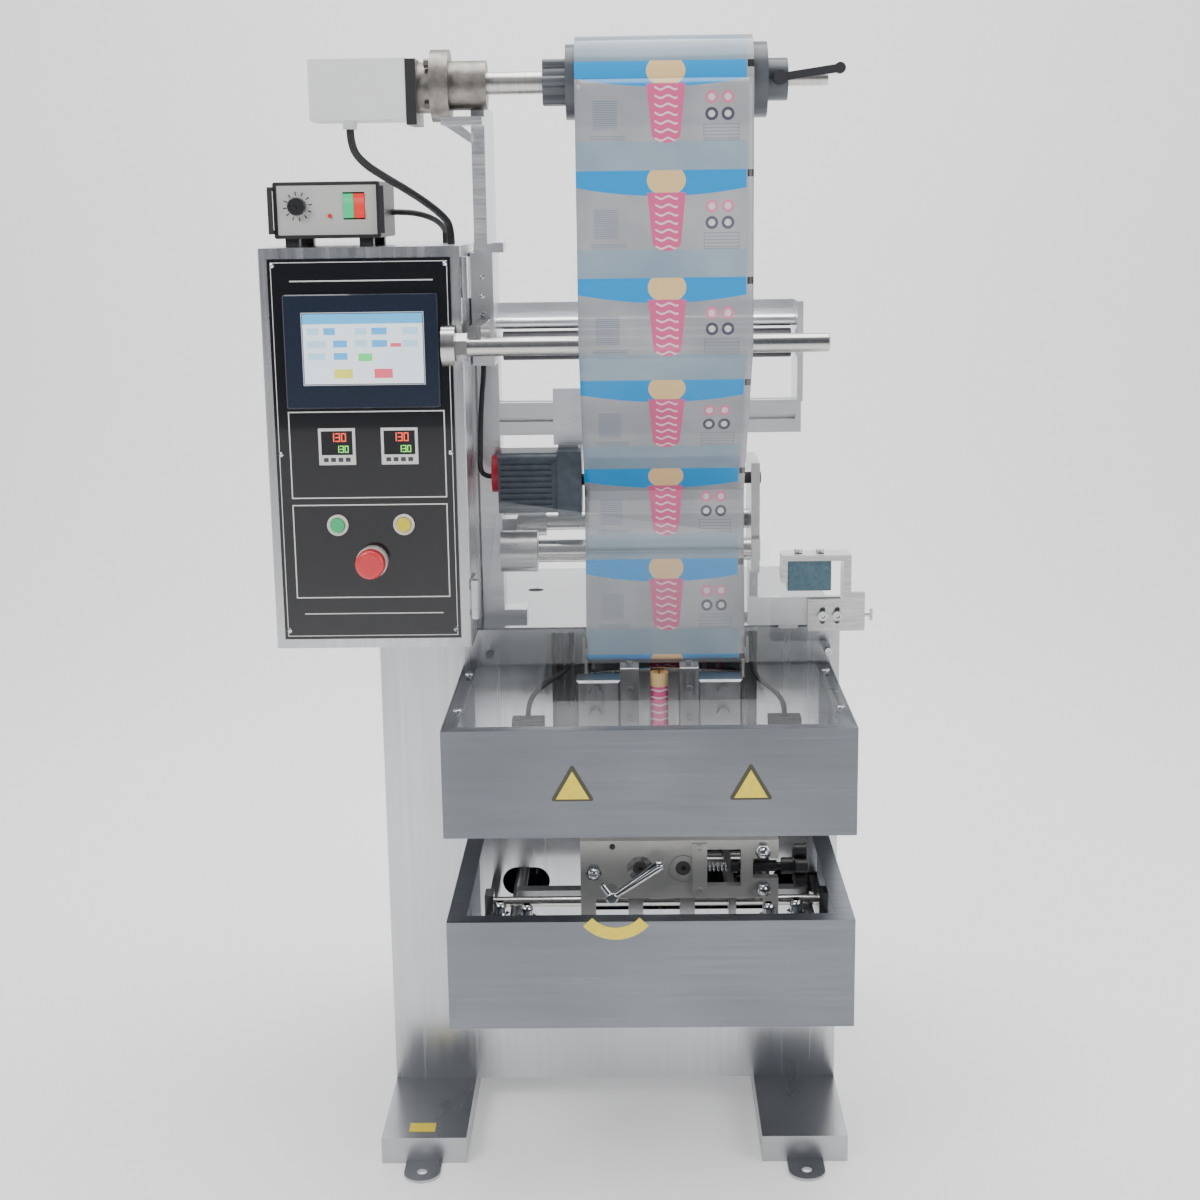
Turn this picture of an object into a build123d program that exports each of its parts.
# Vertical form fill sealer: a small bag-making, filling and sealing machine.
#
# +X is to the operator's right, -Y is towards the operator and +Z is up.  The origin lies on
# the floor, at the centre of the four anchor holes in the feet.  All sizes are in millimetres.
#
# Film comes off the roll, passes in front of the guide bar, over the feed roller and the lower
# roller, under the turn bar, round the rear bar and up the former's wedge, where it is folded
# into a web.  The vertical jaws seal its edges, the draw rollers pull it, and the horizontal
# jaws seal and cut the bags.

from build123d import *
import math
import os

os.makedirs("parts", exist_ok=True)

# ---------------------------------------------------------------- driving dimensions
CABINET_W = 645.0          # main cabinet, outside
CABINET_D = 430.0
DECK_Z = 720.0             # top of the deck plate above the floor
FRONT = -150.0             # Y of the cabinet's front face
SHEET = 2.0                # stainless sheet of the cabinet and guards
DECK_T = 3.0               # deck plate

FOOT_W = 118.0
FOOT_H = 38.0
FOOT_FRONT = 180.0         # how far the feet reach in front of the cabinet
FOOT_REAR = 50.0           # and behind it
FOOT_PLATE = 4.0           # sole plate with the anchor tabs
ANCHOR_R = 7.0             # anchor hole
ANCHOR_OUT = 30.0          # hole centre beyond the foot's end
TAB_R = 25.0               # half-round anchor tab

GUARD_W = 517.0            # upper guard and lower tray, outside
GUARD_X = 51.75            # their centre
GUARD_D = 325.0            # their reach in front of the cabinet
GUARD_H = 144.0
GUARD_TOP = 668.0
TRAY_TOP = 412.0
TRAY_H = 144.0
LIP = 24.0                 # inward lip round the tray
LID_T = 5.0                # clear lid of the upper guard

BOX_W = 262.0              # control cabinet
BOX_H = 529.0
BOX_D = 380.0              # body behind the door
BOX_LEFT = -444.0
DOOR_T = 20.0
DOOR_GAP = 0.5
FASCIA_T = 3.0

FILM_W = 220.0             # flat film
FILM_X = 78.7              # centre of the flat film
FILM_T = 0.5
FILM_GAP = 0.4             # film to each roller
ROLL_R = 55.0              # outside of the film roll
CORE_R = 38.0              # inside of its cardboard core
ROLL_Y = FRONT - 127.0
ROLL_Z = 1448.0

BAR_R = 12.0               # guide bar
BAR_Z = 1124.0
FEED_R = 30.0              # rubber feed roller
FEED_Z = 923.0
FEED_Y = FRONT + 37.0
LOWER_R = 16.0             # lower roller
LOWER_Z = 825.0
LOWER_Y = FRONT + 22.0
TURN_R = 8.0               # turn bar and rear bar of the former
TURN_Y = FRONT - 10.0
TURN_Z = 684.0
REAR_BAR_Y = FRONT + 95.0
REAR_BAR_Z = 640.0
APEX_Y = FRONT - 100.0     # tip of the former, where the fold edge of the web starts
APEX_Z = 687.0

WEB_X = 68.5               # plane of the folded web
WEB_T = 0.6
WEB_D = FILM_W / 2         # the folded web is half the film's width
WEB_BOTTOM = 300.0

PLATE_T = 16.0             # bearing plates
PLATE_Y = FRONT - 186.0    # front face of the front bearing plate
PLATE_Z0 = 389.0
PLATE_Z1 = 470.0
DRAW_Z = 431.0             # draw roller axes
DRAW_R = 27.9
DRAW_SPAN = 57.0           # between the two axes
DRAW_SHAFT_R = 10.0
BEARING_R = 17.5
RUN = 0.05                 # radial clearance of every running fit

JAW_OPEN = 27.5            # vertical jaw face from the web, open
JAW_LIP = 12.0             # height of the sealing strip on the jaw's face
JAW_SHUT = 0.8             # sealing strip from the web's middle, shut
JAW_W = 25.5
JAW_Z0 = 526.0             # underside of the vertical jaws
JAW_ROD_BACK = 15.0        # guide rod of the vertical jaws, behind the web's open edges
JAW_ROD_Z = 562.0
CROSS_OPEN = 25.0          # horizontal jaw face from the web, open
CROSS_Z = 368.0
ROD_R = 7.0                # guide rods of the horizontal jaws
ROD_FRONT_Y = FRONT - 140.0
ROD_REAR_BACK = 25.0       # rear guide rod, behind the web's open edges

POST_X0 = -180.0           # frame post beside the control cabinet
POST_W = 30.0
POST_TOP = 1237.0
POST_Y0 = FRONT + 65.0
POST_D = 60.0
TENSION_Z = 1108.0
TIE_Z = 1139.0
FRAME_Y = FRONT + 60.0     # axis of the tension roller and the tie rod

BUTTON_R = 11.0

# ---------------------------------------------------------------- derived positions
CAB_X0 = -CABINET_W / 2
CAB_X1 = CABINET_W / 2
CAB_Y1 = FRONT + CABINET_D
SHELL_TOP = DECK_Z - DECK_T
FOOT_X = CAB_X1 - FOOT_W / 2
FOOT_Y0 = FRONT - FOOT_FRONT
FOOT_Y1 = CAB_Y1 + FOOT_REAR
GUARD_X0 = GUARD_X - GUARD_W / 2
GUARD_X1 = GUARD_X + GUARD_W / 2
GUARD_Y0 = FRONT - GUARD_D
BOX_X1 = BOX_LEFT + BOX_W
BOX_Z1 = DECK_Z + BOX_H
DOOR_Y0 = FRONT - 115.0
BOX_Y0 = DOOR_Y0 + DOOR_T
BOX_Y1 = BOX_Y0 + BOX_D
FASCIA_Y = DOOR_Y0 - FASCIA_T
FILM_X0 = FILM_X - FILM_W / 2
FILM_X1 = FILM_X + FILM_W / 2
FILM_FRONT_Y = ROLL_Y - ROLL_R - FILM_GAP - FILM_T
BAR_Y = FILM_FRONT_Y + FILM_T + FILM_GAP + BAR_R
JAW_ROD_Y = APEX_Y + WEB_D + JAW_ROD_BACK
ROD_REAR_Y = APEX_Y + WEB_D + ROD_REAR_BACK
DRAW_LEFT_X = WEB_X - DRAW_SPAN / 2
DRAW_RIGHT_X = WEB_X + DRAW_SPAN / 2

# ---------------------------------------------------------------- places of the smaller pieces
# x0, x1, z0 and z1 of the cabinet's upper and lower openings
JAW_WINDOW = (FILM_X0 - 49.7, FILM_X1 + 18.3, 520.0, 712.0)
ROLLER_WINDOW = (-45.0, 226.0, 300.0, 480.0)
LEFT_SLOT = (-158.0, -90.0)
RIGHT_SLOT = (196.0 + 34.0, 298.0)
SLOT_R = 21.0
SLOT_Z = 345.0
REAR_WINDOW = (-265.0, 265.0, 90.0, 650.0)
DOOR_Z0 = 75.0
DOOR_Z1 = 665.0
DOOR_X = 280.0
REAR_PIVOT_X = -290.0
REAR_PIVOT_Y = CAB_Y1 + 8.0
FUNNEL_Y = FRONT + 155.0
PORT_R = 27.0
FUNNEL_R = 30.0
LID_SCREWS = ((-192.0, FRONT - 60.0), (-191.0, FRONT - 246.0),
              (297.0, FRONT - 55.0), (296.0, FRONT - 245.0))
DOME_XY = ((-147.0, FRONT - 205.0), (-111.0, FRONT - 215.0),
           (209.0, FRONT - 215.0), (246.0, FRONT - 205.0))
BASE_TOP = 352.0
POST_PLACES = ((-22.0, 428.0), (203.0, 455.0), (203.0, 404.0))
LEVER_PIVOT = (2.0, 402.0)
SCREEN_T = 4.0             # clear guard
SCREEN_Y = FRONT - 38.0
SPACER_X = (-165.0, 303.0)
SPACER_Z = 691.0
SENSOR_BAR_Y = FRONT - 30.0
SLIDE_T = 9.9
SLIDE_Y = SENSOR_BAR_Y - SLIDE_T - 0.1
SENSOR_BOLT_X = (294.0, 314.0)
SENSOR_BOLT_Z = 742.0
SENSOR_TRAVEL = 8.0
CAM_Y = FRONT + 240.0
CAM_Z = 300.0
CAM_BEARING_X = (-258.0, 244.0)
PIVOT_X = BOX_X1 + 6.0
PIVOT_Y = DOOR_Y0 - 6.0
HINGE_Z = (DECK_Z + 67.0, DECK_Z + 489.0)
HINGE_H = 26.0
START_XZ = (-354.5, 889.0)
STEP_XZ = (-267.0, 889.0)
STOP_XZ = (-310.5, 840.0)
HMI = (-414.0, -213.5, 1043.0, 1190.0)
TEMPS = ((-375.0, 969.0), (-293.0, 969.0))
TEMP_SIZE = 48.0
CASE = (-427.0, -288.0, FRONT - 80.0, FRONT + 70.0, BOX_Z1 + 11.0, BOX_Z1 + 83.0)
KNOB_XZ = (-395.5, 1301.0)
KNOB_R = 11.5
ROCKER_X = (-336.0, -321.8)
ROCKER_W = 13.5
ROCKER_Z = (1284.0, 1318.0)
COVER = (-360.0, -240.0, ROLL_Y - 40.0, ROLL_Y + 40.0, ROLL_Z - 44.0, ROLL_Z + 31.0)
SHAFT_R = 14.0
CORE_T = 3.0               # wall of the cardboard core
CONE_X0 = FILM_X0 - 11.7   # outer faces of the two cones
CONE_X1 = FILM_X1 + 18.3
HUB_X1 = CONE_X1 + 26.0    # end of the clamping hub
LEVER_X = HUB_X1 - 11.0
SPINDLE_END = HUB_X1 + 51.0
ARM = (-165.0, -148.0, FRONT - 110.0, FRONT + 60.0)
RAIL_X1 = FILM_X1 + 81.3
GEAR_X0 = FILM_X0 - 36.7
STAY_X0 = FILM_X1 + 11.3
STAY_X1 = STAY_X0 + 12.0
WEB_TOP = 556.0            # above here the web is still open round the filling tube
CHUTE_R = 10.5
ARM_REAR = JAW_ROD_Y + 15.0
JAW_BRACKET_X = (-101.0, 219.0)
SCREW_Y = PLATE_Y + PLATE_T / 2
SPRING_X0 = 121.0
SPRING_X1 = 157.0
LEVER_Y = PLATE_Y - 30.0


# ---------------------------------------------------------------- helpers
def block(x0, x1, y0, y1, z0, z1):
    """A box between two corners."""
    centre = ((x0 + x1) / 2, (y0 + y1) / 2, (z0 + z1) / 2)
    return Pos(*centre) * Box(x1 - x0, y1 - y0, z1 - z0)


def rod_x(x0, x1, y, z, r):
    """A cylinder along X."""
    return Pos((x0 + x1) / 2, y, z) * Rot(0, 90, 0) * Cylinder(r, x1 - x0)


def rod_y(y0, y1, x, z, r):
    """A cylinder along Y."""
    return Pos(x, (y0 + y1) / 2, z) * Rot(90, 0, 0) * Cylinder(r, y1 - y0)


def rod_z(z0, z1, x, y, r):
    """A cylinder along Z."""
    return Pos(x, y, (z0 + z1) / 2) * Cylinder(r, z1 - z0)


def hex_x(x0, x1, y, z, flats):
    """A hexagonal nut along X."""
    prism = extrude(RegularPolygon(flats / 2, 6, major_radius=False), x1 - x0)
    return Pos(x0, y, z) * Rot(0, 90, 0) * prism


def hex_y(y0, y1, x, z, flats):
    """A hexagonal nut along Y, from y0 to y1."""
    prism = extrude(RegularPolygon(flats / 2, 6, major_radius=False), y1 - y0)
    return Pos(x, y1, z) * Rot(90, 0, 0) * prism


def hex_z(z0, z1, x, y, flats):
    """A hexagonal nut along Z."""
    prism = extrude(RegularPolygon(flats / 2, 6, major_radius=False), z1 - z0)
    return Pos(x, y, z0) * prism


def slot_cut_y(x0, x1, y0, y1, z, r):
    """A round-ended slot through a wall, running along X."""
    middle = block(x0 + r, x1 - r, y0, y1, z - r, z + r)
    return middle + rod_y(y0, y1, x0 + r, z, r) + rod_y(y0, y1, x1 - r, z, r)


def save(name, *solids):
    """Write one node; several pieces that don't touch stay separate solids."""
    shape = solids[0] if len(solids) == 1 else Compound(children=list(solids))
    export_step(shape, f"parts/{name}.step")


def cap_screw(x, y, z, axis, r=4.0, head=4.0):
    """A socket cap screw head whose underside sits at the point, facing out along the axis."""
    if axis == "-y":
        return rod_y(y - head, y, x, z, r) - hex_y(y - head - 1, y - head + 2, x, z, r)
    head_z = rod_z(z, z + head, x, y, r)
    return head_z - hex_z(z + head - 2, z + head + 1, x, y, r)


def acorn_nut(x, y, z, flats):
    """A dome nut facing the operator, seated at y."""
    nut = hex_y(y - flats * 0.45, y, x, z, flats)
    dome = Pos(x, y - flats * 0.45, z) * Sphere(flats * 0.43)
    return nut + (dome & block(x - 30, x + 30, y - 60, y - flats * 0.2, z - 30, z + 30))


# ---------------------------------------------------------------- feet, cabinet and deck
def build_feet():
    """Two channel feet on sole plates with half-round anchor tabs at both ends."""
    feet = []
    for side in (-1, 1):
        x = side * FOOT_X
        x0 = x - FOOT_W / 2
        x1 = x + FOOT_W / 2
        channel = block(x0, x1, FOOT_Y0, FOOT_Y1, FOOT_PLATE, FOOT_H)
        channel -= block(x0 + 3, x1 - 3, FOOT_Y0 + 3, FOOT_Y1 - 3, FOOT_PLATE - 1, FOOT_H - 3)
        sole = block(x0, x1, FOOT_Y0, FOOT_Y1, 0, FOOT_PLATE)
        for end_y, out in ((FOOT_Y0, -1), (FOOT_Y1, 1)):
            hole_y = end_y + out * ANCHOR_OUT
            neck = block(x - TAB_R, x + TAB_R, min(end_y, hole_y), max(end_y, hole_y), 0, FOOT_PLATE)
            sole += neck + rod_z(0, FOOT_PLATE, x, hole_y, TAB_R)
            sole -= rod_z(-1, FOOT_PLATE + 1, x, hole_y, ANCHOR_R)
        feet.extend((channel, sole))
    save("feet", *feet)


def build_cabinet():
    """Folded stainless shell, open on top under the deck, with windows for the mechanisms."""
    shell = block(CAB_X0, CAB_X1, FRONT, CAB_Y1, FOOT_H, SHELL_TOP)
    shell -= block(CAB_X0 + SHEET, CAB_X1 - SHEET, FRONT + SHEET, CAB_Y1 - SHEET,
                   FOOT_H + SHEET, SHELL_TOP - SHEET)
    shell -= block(CAB_X0 + 25, CAB_X1 - 25, FRONT + 25, CAB_Y1 - 25, SHELL_TOP - 10, SHELL_TOP + 1)
    for x0, x1, z0, z1 in (JAW_WINDOW, ROLLER_WINDOW):
        shell -= block(x0, x1, FRONT - 1, FRONT + SHEET + 1, z0, z1)
    shell -= block(WEB_X - 9, WEB_X + 9, FRONT - 1, FRONT + SHEET + 1,
                   ROLLER_WINDOW[3] - 5, JAW_WINDOW[2] + 5)
    for x0, x1 in (LEFT_SLOT, RIGHT_SLOT):
        shell -= slot_cut_y(x0, x1, FRONT - 1, FRONT + SHEET + 1, SLOT_Z, SLOT_R)
    x0, x1, z0, z1 = REAR_WINDOW
    shell -= block(x0, x1, CAB_Y1 - SHEET - 1, CAB_Y1 + 1, z0, z1)
    for z in (DOOR_Z0 + 80, DOOR_Z1 - 80):
        for z0, z1 in ((z - 27.0, z - 20.3), (z + 20.3, z + 27.0)):
            shell += block(REAR_PIVOT_X - 6, REAR_PIVOT_X + 6, CAB_Y1 - 1, REAR_PIVOT_Y + 5, z0, z1)
        shell += rod_z(z - 26, z + 26, REAR_PIVOT_X, REAR_PIVOT_Y, 3.5)
    save("cabinet_shell", shell)


def build_deck():
    """Polished deck plate with the hole for the filling port and a cable hole."""
    deck = block(CAB_X0, CAB_X1, FRONT, CAB_Y1, SHELL_TOP, DECK_Z)
    deck = fillet(deck.edges().filter_by(Axis.Z), 4.0)
    deck -= rod_z(SHELL_TOP - 1, DECK_Z + 1, WEB_X, FUNNEL_Y, FUNNEL_R + RUN)
    deck -= rod_z(SHELL_TOP - 1, DECK_Z + 1, -115.0, FRONT + 260.0, 12.0)
    save("deck_plate", deck)


def build_rear_door():
    """Rear service door: a pan with returned edges, hinge eyes and a turn latch."""
    y0 = CAB_Y1 + 1.0
    y1 = y0 + 15.0
    pan = block(-DOOR_X, DOOR_X, y0, y1, DOOR_Z0, DOOR_Z1)
    pan -= block(-DOOR_X + SHEET, DOOR_X - SHEET, y0 - 1, y1 - SHEET, DOOR_Z0 + SHEET, DOOR_Z1 - SHEET)
    for z in (DOOR_Z0 + 80, DOOR_Z1 - 80):
        pan += block(REAR_PIVOT_X, -DOOR_X + 1, REAR_PIVOT_Y - 3, REAR_PIVOT_Y + 3, z - 20, z + 20)
        pan += rod_z(z - 20, z + 20, REAR_PIVOT_X, REAR_PIVOT_Y, 7.0)
        pan -= rod_z(z - 21, z + 21, REAR_PIVOT_X, REAR_PIVOT_Y, 3.5 + RUN)
    pan += rod_y(y1, y1 + 12.0, DOOR_X - 40, 370.0, 14.0)
    pan += block(DOOR_X - 43, DOOR_X - 37, y1 + 11, y1 + 22, 356.0, 384.0)
    for i in range(6):
        z = 190.0 + i * 16.0
        pan -= block(-60, 60, y1 - SHEET - 1, y1 + 1, z, z + 6.0)
    save("rear_door", pan)


# ---------------------------------------------------------------- guards
def build_guards():
    """Upper guard, its clear lid, and the lower tray, each open towards the cabinet."""
    z0 = GUARD_TOP - GUARD_H
    top = GUARD_TOP - LID_T
    back = FRONT
    guard = block(GUARD_X0, GUARD_X1, GUARD_Y0, back, z0, top)
    guard -= block(GUARD_X0 + SHEET, GUARD_X1 - SHEET, GUARD_Y0 + SHEET, back + 1, z0 - 1, top + 1)
    lip = block(GUARD_X0, GUARD_X1, GUARD_Y0, back, top - SHEET, top)
    lip -= block(GUARD_X0 + 20, GUARD_X1 - 20, GUARD_Y0 + 20, back + 1, top - 5, top + 1)
    guard += lip
    for side in (GUARD_X0 + SHEET, GUARD_X1 - SHEET - 14):
        guard += block(side, side + 14, back - SHEET, back, z0, top)
    for x, y in LID_SCREWS:
        guard += rod_z(top - 9, top, x, y, 6.0) & block(GUARD_X0, GUARD_X1, GUARD_Y0, back, z0, top)
        guard -= rod_z(top - 10, top + 1, x, y, 3.2)
    save("upper_guard", guard)

    lid = block(GUARD_X0 + 1, GUARD_X1 - 1, GUARD_Y0 + 1, back, top, GUARD_TOP)
    lid -= block(-90.0, 205.0, FRONT - 204.0, back + 1, top - 1, GUARD_TOP + 1)
    for x, y in LID_SCREWS:
        lid -= rod_z(top - 1, GUARD_TOP + 1, x, y, 3.2)
    save("guard_lid", lid)

    z0 = TRAY_TOP - TRAY_H
    tray = block(GUARD_X0, GUARD_X1, GUARD_Y0, back, z0, TRAY_TOP)
    tray -= block(GUARD_X0 + SHEET, GUARD_X1 - SHEET, GUARD_Y0 + SHEET, back + 1,
                  z0 - 1, TRAY_TOP + 1)
    rim = block(GUARD_X0, GUARD_X1, GUARD_Y0, back, TRAY_TOP - SHEET, TRAY_TOP)
    rim -= block(GUARD_X0 + LIP, GUARD_X1 - LIP, GUARD_Y0 + LIP, back + 1,
                 TRAY_TOP - 5, TRAY_TOP + 1)
    tray += rim
    for side in (GUARD_X0 + SHEET, GUARD_X1 - SHEET - 14):
        tray += block(side, side + 14, back - SHEET, back, z0, TRAY_TOP)
    save("lower_tray", tray)


# ---------------------------------------------------------------- fasteners
def build_fasteners():
    """Lid screws, dome nuts of the bearing plate, and the domed adjusters on the base."""
    group = []
    for x, y in LID_SCREWS:
        head = rod_z(GUARD_TOP, GUARD_TOP + 2.5, x, y, 6.0)
        head = fillet(head.edges().sort_by(Axis.Z)[-1], 1.8)
        cross = block(x - 3.5, x + 3.5, y - 0.6, y + 0.6, GUARD_TOP + 1.2, GUARD_TOP + 3)
        cross += block(x - 0.6, x + 0.6, y - 3.5, y + 3.5, GUARD_TOP + 1.2, GUARD_TOP + 3)
        group.append(head - cross + rod_z(GUARD_TOP - 8, GUARD_TOP, x, y, 3.0))
    for x, z in POST_PLACES:
        group.append(acorn_nut(x, PLATE_Y, z, 19.0))
    for x, y in DOME_XY:
        stem = rod_z(BASE_TOP, BASE_TOP + 34, x, y, 8.5)
        nut = hex_z(BASE_TOP, BASE_TOP + 10, x, y, 26.0) + hex_z(BASE_TOP + 16, BASE_TOP + 26, x, y, 22.0)
        dome = Pos(x, y, BASE_TOP + 34) * Sphere(8.5)
        bore = rod_z(BASE_TOP + 30, BASE_TOP + 50, x, y, 4.5)
        group.append(stem + nut + dome - bore)
    for x in SPACER_X:
        group.append(rod_y(SCREEN_Y + SCREEN_T, FRONT, x, SPACER_Z, 6.0))
        screw = cap_screw(x, SCREEN_Y, SPACER_Z, "-y", 5.0, 3.0)
        group[-1] += screw + rod_y(SCREEN_Y - 0.5, SCREEN_Y + SCREEN_T + 1, x, SPACER_Z, 3.0)
    for x in SENSOR_BOLT_X:
        head = rod_y(SLIDE_Y - 6.5, SLIDE_Y - 0.1, x, SENSOR_BOLT_Z, 6.5)
        shank = rod_y(SLIDE_Y - 0.2, SENSOR_BAR_Y + 13, x, SENSOR_BOLT_Z, 3.0)
        group.append(head + shank - hex_y(SLIDE_Y - 7.5, SLIDE_Y - 3.5, x, SENSOR_BOLT_Z, 6.0))
    save("fasteners", *group)


# ---------------------------------------------------------------- control cabinet
def build_control_cabinet():
    """Sheet box that stands on the deck, open at the front, with the fixed hinge halves."""
    box = block(BOX_LEFT, BOX_X1, BOX_Y0, BOX_Y1, DECK_Z, BOX_Z1)
    box -= block(BOX_LEFT + SHEET, BOX_X1 - SHEET, BOX_Y0 - 1, BOX_Y1 - SHEET,
                 DECK_Z + SHEET, BOX_Z1 - SHEET)
    for z in HINGE_Z:
        for z0, z1 in ((z - HINGE_H, z - HINGE_H / 2), (z + HINGE_H / 2, z + HINGE_H)):
            leaf = block(BOX_X1 - 1, PIVOT_X - 2, PIVOT_Y + 10, BOX_Y0 + 25, z0, z1)
            arm = block(PIVOT_X - 3, PIVOT_X + 3, PIVOT_Y, PIVOT_Y + 12, z0, z1)
            box += leaf + arm + block(BOX_X1 - 1, PIVOT_X + 3, PIVOT_Y + 9, PIVOT_Y + 12, z0, z1)
            box += rod_z(z0, z1, PIVOT_X, PIVOT_Y, 6.0)
        box += rod_z(z - HINGE_H, z + HINGE_H, PIVOT_X, PIVOT_Y, 3.0)
    box -= block(BOX_LEFT - 1, BOX_X1 + 0.6, DOOR_Y0 - 30, BOX_Y0, DECK_Z - 1, BOX_Z1 + 1)
    save("control_cabinet", box)


def build_control_door():
    """Door pan with mitred border, hinge knuckles, instruments and push buttons."""
    back = BOX_Y0 - DOOR_GAP
    door = block(BOX_LEFT, BOX_X1, DOOR_Y0, back, DECK_Z + 1, BOX_Z1)
    door = fillet(door.edges().filter_by(Axis.Z).group_by(Axis.Y)[0], 2.5)
    door -= block(BOX_LEFT + SHEET, BOX_X1 - SHEET, DOOR_Y0 + 5, back + 1,
                  DECK_Z + 1 + SHEET, BOX_Z1 - SHEET)
    for z in HINGE_Z:
        z0 = z - HINGE_H / 2 + 0.3
        z1 = z + HINGE_H / 2 - 0.3
        door += block(BOX_X1 - 1, PIVOT_X, PIVOT_Y, PIVOT_Y + 8, z0, z1)
        door += rod_z(z0, z1, PIVOT_X, PIVOT_Y, 6.0)
        door -= rod_z(z0 - 1, z1 + 1, PIVOT_X, PIVOT_Y, 3.0 + RUN)
    for x, z in (START_XZ, STEP_XZ, STOP_XZ):
        door -= rod_y(DOOR_Y0 - 1, DOOR_Y0 + 6, x, z, BUTTON_R + 1.0)
    save("control_door", door)

    fascia = block(BOX_LEFT + 12, BOX_X1 - 14, FASCIA_Y, DOOR_Y0, DECK_Z + 14, BOX_Z1 - 14)
    for x, z in (START_XZ, STEP_XZ, STOP_XZ):
        fascia -= rod_y(FASCIA_Y - 1, DOOR_Y0 + 1, x, z, BUTTON_R + 1.0)
    collars = []
    for (x, z), height, wide in ((START_XZ, 5.0, 3.0), (STEP_XZ, 5.0, 3.0), (STOP_XZ, 12.0, 10.0)):
        ring = rod_y(FASCIA_Y - height, FASCIA_Y, x, z, BUTTON_R + wide)
        bore = BUTTON_R - 1.0 if height < 10 else BUTTON_R - 3.5
        collars.append(ring - rod_y(FASCIA_Y - height - 1, FASCIA_Y + 1, x, z, bore))
    save("control_fascia", fascia, *collars)

    x0, x1, z0, z1 = HMI
    screen = block(x0, x1, FASCIA_Y - 5, FASCIA_Y, z0, z1)
    screen = fillet(screen.edges().filter_by(Axis.Y), 3.0)
    screen = chamfer(screen.faces().sort_by(Axis.Y)[0].edges(), 1.5)
    save("touch_screen", screen)

    cases = []
    for x, z in TEMPS:
        case = block(x, x + TEMP_SIZE, FASCIA_Y - 4, FASCIA_Y, z, z + TEMP_SIZE)
        case -= block(x + 3.5, x + TEMP_SIZE - 3.5, FASCIA_Y - 5, FASCIA_Y - 3,
                      z + 13.0, z + TEMP_SIZE - 3.5)
        cases.append(case)
    save("temp_controllers", *cases)

    for name, (x, z) in (("start_button", START_XZ), ("step_button", STEP_XZ)):
        cap = rod_y(FASCIA_Y - 9, FASCIA_Y - 1, x, z, BUTTON_R - 1.5)
        cap = fillet(cap.faces().sort_by(Axis.Y)[0].edges(), 1.5)
        save(name, cap + rod_y(FASCIA_Y - 1.5, DOOR_Y0 + 30, x, z, BUTTON_R - 4))
    x, z = STOP_XZ
    head = rod_y(FASCIA_Y - 34, FASCIA_Y - 18, x, z, 19.5)
    head = fillet(head.faces().sort_by(Axis.Y)[0].edges(), 5.0)
    save("stop_button", head + rod_y(FASCIA_Y - 19, DOOR_Y0 + 30, x, z, BUTTON_R - 4))


# ---------------------------------------------------------------- feeder controller
def build_controller():
    """Speed controller of the vibrating feeder, which stands on the control cabinet."""
    x0, x1, y0, y1, z0, z1 = CASE
    case = block(x0, x1, y0, y1, z0, z1)
    case = fillet(case.edges().filter_by(Axis.Y), 3.0)
    case -= block(x0 + 4, x1 - 4, y0 - 1, y0 + 3, z0 + 4, z1 - 4)
    case += block(x0 + 4, x1 - 4, y0 + 1, y0 + 4, z0 + 4, z1 - 4)
    for fx in (x0 + 12, x1 - 30):
        for fy in (y0 + 10, y1 - 26):
            case += block(fx, fx + 18, fy, fy + 16, BOX_Z1, z0 + 1)
    for x in (x0 - 3.0, x1 + 3.0):
        grip = block(x - 3, x + 3, y0 - 8, y0 + 12, z0 + 6, z1 - 6)
        case += grip - block(x - 4, x + 4, y0 - 3, y0 + 20, z0 + 11, z1 - 11)
    rocker_x1 = ROCKER_X[1] + ROCKER_W
    case -= block(ROCKER_X[0] - 0.4, rocker_x1 + 0.4, y0 - 1, y0 + 18, ROCKER_Z[0] - 0.4, ROCKER_Z[1] + 0.4)
    case -= rod_y(y0 - 1, y0 + 18, KNOB_XZ[0], KNOB_XZ[1], 3.0 + RUN)
    case += rod_y(y0 - 2, y0 + 2, -354.0, 1288.5, 2.5)
    save("controller_case", case)

    knob = rod_y(y0 - 13, y0 + 0.5, KNOB_XZ[0], KNOB_XZ[1], KNOB_R)
    knob = fillet(knob.faces().sort_by(Axis.Y)[0].edges(), 1.5)
    for i in range(16):
        turn = math.radians(i * 22.5)
        gx = KNOB_XZ[0] + KNOB_R * math.cos(turn)
        gz = KNOB_XZ[1] + KNOB_R * math.sin(turn)
        knob -= rod_y(y0 - 12, y0 + 1, gx, gz, 0.9)
    save("controller_knob", knob + rod_y(y0, y0 + 15, KNOB_XZ[0], KNOB_XZ[1], 3.0))

    for name, x in (("rocker_green", ROCKER_X[0]), ("rocker_red", ROCKER_X[1])):
        mid_z = sum(ROCKER_Z) / 2
        paddle = block(x, x + ROCKER_W, y0 - 1.5, y0 + 6, ROCKER_Z[0] + 1.5, ROCKER_Z[1] - 1.5)
        groove = rod_x(x - 1, x + ROCKER_W + 1, y0 - 34, mid_z, 34.0)
        save(name, paddle - groove + rod_x(x, x + ROCKER_W, y0 + 8, mid_z, 4.0))


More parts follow.
